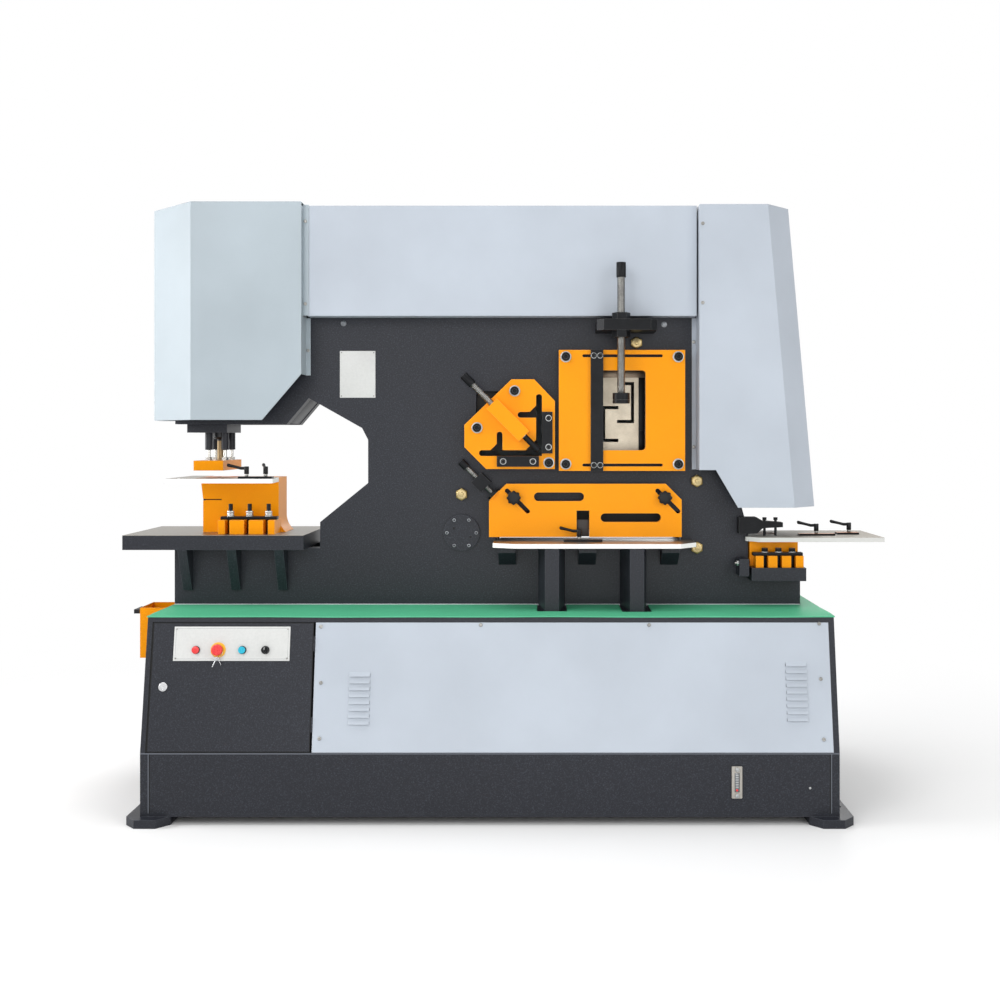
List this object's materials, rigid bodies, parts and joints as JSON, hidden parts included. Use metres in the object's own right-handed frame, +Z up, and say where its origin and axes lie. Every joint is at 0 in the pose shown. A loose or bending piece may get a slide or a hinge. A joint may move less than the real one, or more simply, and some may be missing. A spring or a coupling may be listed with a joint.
{
  "type": "hydraulic ironworker",
  "caption": "Free-standing hydraulic ironworker with a punching throat and stations that cut angle, channel and flat bar and notch plate, on a steel cabinet base.",
  "frame": {"origin": "on the floor, midway between the four floor anchors", "axes": "+X to the operator's right, +Y into the machine, +Z up"},
  "size_m": [2.878, 1.09, 2.243],
  "materials": {
    "charcoal_paint": "satin",
    "grey_paint": "satin",
    "orange_paint": "gloss",
    "white_paint": "satin",
    "black_oxide": "satin",
    "ground_steel": "satin",
    "bright_steel": "satin",
    "zinc": "satin",
    "green_rubber": "matte",
    "white_plastic": "satin",
    "red_plastic": "gloss",
    "blue_plastic": "gloss",
    "black_plastic": "satin",
    "chrome": "gloss",
    "blue_paint": "satin"
  },
  "bodies": {
    "frame": {"base_frame": "charcoal_paint", "front_panel": "grey_paint", "rubber_mat": "green_rubber", "oil_gauge": "white_plastic", "front_plate": "charcoal_paint", "rear_plate": "charcoal_paint", "frame_spacers": "charcoal_paint", "pivot_pin": "bright_steel", "guide_adjusters": "zinc", "hydraulic_drive": "charcoal_paint", "left_hood": "grey_paint", "right_hood": "grey_paint", "beam_cover": "grey_paint", "punch_bed": "charcoal_paint", "die_bolster": "orange_paint", "foot_clamps": "black_oxide", "punch_table": "white_paint", "stripper": "orange_paint", "angle_hold_down": "orange_paint", "angle_housing": "orange_paint", "section_hold_down": "orange_paint", "frame_brackets": "black_oxide", "hold_down_bolts": "black_oxide", "fixed_blades": "ground_steel", "shear_table": "white_paint", "table_supports": "charcoal_paint", "notch_shelf": "charcoal_paint", "notch_die": "orange_paint", "notch_table": "white_paint", "notch_arm": "black_oxide", "slug_bin": "orange_paint", "electrical_panel": "blue_paint"},
    "door": {"cabinet_door": "charcoal_paint", "control_panel": "white_plastic"},
    "beam": {"swing_beam": "charcoal_paint", "beam_blades": "ground_steel"},
    "emergency_stop": {"emergency_stop": "red_plastic"},
    "push_button": {"push_button": "blue_plastic"},
    "selector_knob": {"selector_knob": "black_plastic"},
    "door_lock": {"door_lock": "chrome"},
    "shear_rod": {"shear_rod": "bright_steel"},
    "punch_ram": {"punch_ram": "bright_steel"},
    "punch_fence": {"punch_fence": "black_oxide"},
    "punch_lever_left": {"punch_lever_left": "black_plastic"},
    "punch_lever_right": {"punch_lever_right": "black_plastic"},
    "shear_fence": {"shear_fence": "black_oxide"},
    "shear_lever": {"shear_lever": "black_plastic"},
    "first_notch_slide": {"first_notch_slide": "black_oxide"},
    "first_notch_lever": {"first_notch_lever": "black_plastic"},
    "second_notch_slide": {"second_notch_slide": "black_oxide"},
    "second_notch_lever": {"second_notch_lever": "black_plastic"},
    "angle_pad": {"angle_pad": "black_oxide"},
    "angle_screw": {"angle_screw": "bright_steel"},
    "section_fence": {"section_fence": "black_oxide"},
    "section_foot": {"section_foot": "black_oxide"},
    "section_screw": {"section_screw": "bright_steel"},
    "flat_hold_down": {"flat_hold_down": "orange_paint"},
    "stop_screw": {"stop_screw": "bright_steel"},
    "star_knob_left": {"star_knob_left": "black_plastic"},
    "star_knob_right": {"star_knob_right": "black_plastic"}
  },
  "joints": [
    {"name": "beam_swing", "type": "hinge", "parent": "frame", "child": "beam", "pos_m": [-0.125, 0, 0.994], "axis": [0, 1, 0], "range_deg": [0, 4.2]},
    {"name": "shear_rod_stroke", "type": "slide", "parent": "frame", "child": "shear_rod", "axis": [0, 0, -1], "range_m": [0, 0.08]},
    {"name": "punch_stroke", "type": "slide", "parent": "frame", "child": "punch_ram", "axis": [0, 0, -1], "range_m": [0, 0.08]},
    {"name": "door_swing", "type": "hinge", "parent": "frame", "child": "door", "pos_m": [-0.6275, -0.4758, 0.45105], "axis": [0, 0.171, 0.9853], "range_deg": [0, 110]},
    {"name": "lock_turn", "type": "hinge", "parent": "door", "child": "door_lock", "pos_m": [-1.157, -0.47136, 0.47667], "axis": [0, -0.9853, 0.171], "range_deg": [0, 90]},
    {"name": "stop_press", "type": "slide", "parent": "door", "child": "emergency_stop", "axis": [0, 0.9853, -0.171], "range_m": [0, 0.005]},
    {"name": "button_press", "type": "slide", "parent": "door", "child": "push_button", "axis": [0, 0.9853, -0.171], "range_m": [0, 0.003], "stiffness_N_per_m": 400},
    {"name": "selector_turn", "type": "hinge", "parent": "door", "child": "selector_knob", "pos_m": [-0.8, -0.44947, 0.60279], "axis": [0, -0.9853, 0.171], "range_deg": [-45, 45]},
    {"name": "punch_fence_slide", "type": "slide", "parent": "frame", "child": "punch_fence", "axis": [0, 1, 0], "range_m": [-0.012, 0.05]},
    {"name": "punch_lever_left_turn", "type": "hinge", "parent": "punch_fence", "child": "punch_lever_left", "pos_m": [-0.934, -0.199, 1.22], "axis": [0, 0, 1], "range_deg": [-60, 60]},
    {"name": "punch_lever_right_turn", "type": "hinge", "parent": "punch_fence", "child": "punch_lever_right", "pos_m": [-0.862, -0.199, 1.22], "axis": [0, 0, 1], "range_deg": [-60, 30]},
    {"name": "shear_fence_slide", "type": "slide", "parent": "frame", "child": "shear_fence", "axis": [0, 1, 0], "range_m": [-0.06, 0.005]},
    {"name": "shear_lever_turn", "type": "hinge", "parent": "shear_fence", "child": "shear_lever", "pos_m": [0.322, -0.226, 0.98], "axis": [0, 0, 1], "range_deg": [0, 120]},
    {"name": "first_notch_slide_move", "type": "slide", "parent": "frame", "child": "first_notch_slide", "axis": [0, 1, 0], "range_m": [-0.06, 0.1]},
    {"name": "first_notch_lever_turn", "type": "hinge", "parent": "first_notch_slide", "child": "first_notch_lever", "pos_m": [1.241, -0.106, 0.99], "axis": [0, 0, 1], "range_deg": [-60, 60]},
    {"name": "second_notch_slide_move", "type": "slide", "parent": "frame", "child": "second_notch_slide", "axis": [0, 1, 0], "range_m": [-0.08, 0.1]},
    {"name": "second_notch_lever_turn", "type": "hinge", "parent": "second_notch_slide", "child": "second_notch_lever", "pos_m": [1.382, -0.05, 0.99], "axis": [0, 0, 1], "range_deg": [-60, 60]},
    {"name": "angle_pad_feed", "type": "slide", "parent": "frame", "child": "angle_pad", "axis": [0.7071, 0, -0.7071], "range_m": [-0.07, 0.006]},
    {"name": "angle_screw_turn", "type": "hinge", "parent": "angle_pad", "child": "angle_screw", "pos_m": [0.055, -0.227, 1.424], "axis": [0.7071, 0, -0.7071], "range_deg": [-8402, 722]},
    {"name": "section_fence_slide", "type": "slide", "parent": "frame", "child": "section_fence", "axis": [1, 0, 0], "range_m": [-0.036, 0.2]},
    {"name": "section_foot_feed", "type": "slide", "parent": "frame", "child": "section_foot", "axis": [0, 0, -1], "range_m": [-0.19, 0.12]},
    {"name": "section_screw_turn", "type": "hinge", "parent": "section_foot", "child": "section_screw", "pos_m": [0.477, -0.262, 1.7], "axis": [0, 0, -1], "range_deg": [-19544.9, 12344.9]},
    {"name": "flat_hold_down_slide", "type": "slide", "parent": "frame", "child": "flat_hold_down", "axis": [-0.7071, 0, 0.7071], "range_m": [-0.014, 0.032]},
    {"name": "stop_screw_turn", "type": "hinge", "parent": "flat_hold_down", "child": "stop_screw", "pos_m": [-0.047, -0.189, 1.189], "axis": [0.7071, 0, -0.7071], "range_deg": [-4610, 2018]},
    {"name": "star_knob_left_turn", "type": "hinge", "parent": "frame", "child": "star_knob_left", "pos_m": [0.076, -0.2, 1.131], "axis": [0, -1, 0], "range_deg": [0, 360]},
    {"name": "star_knob_right_turn", "type": "hinge", "parent": "frame", "child": "star_knob_right", "pos_m": [0.645, -0.2, 1.131], "axis": [0, -1, 0], "range_deg": [0, 360]}
  ],
  "couplings": [
    {"joint": "shear_rod_stroke", "follows": "beam_swing", "m_per_rad": 1.075},
    {"joint": "angle_screw_turn", "follows": "angle_pad_feed", "rad_per_m": 2094.4},
    {"joint": "section_screw_turn", "follows": "section_foot_feed", "rad_per_m": 1795.2},
    {"joint": "stop_screw_turn", "follows": "flat_hold_down_slide", "rad_per_m": -2513.3}
  ]
}
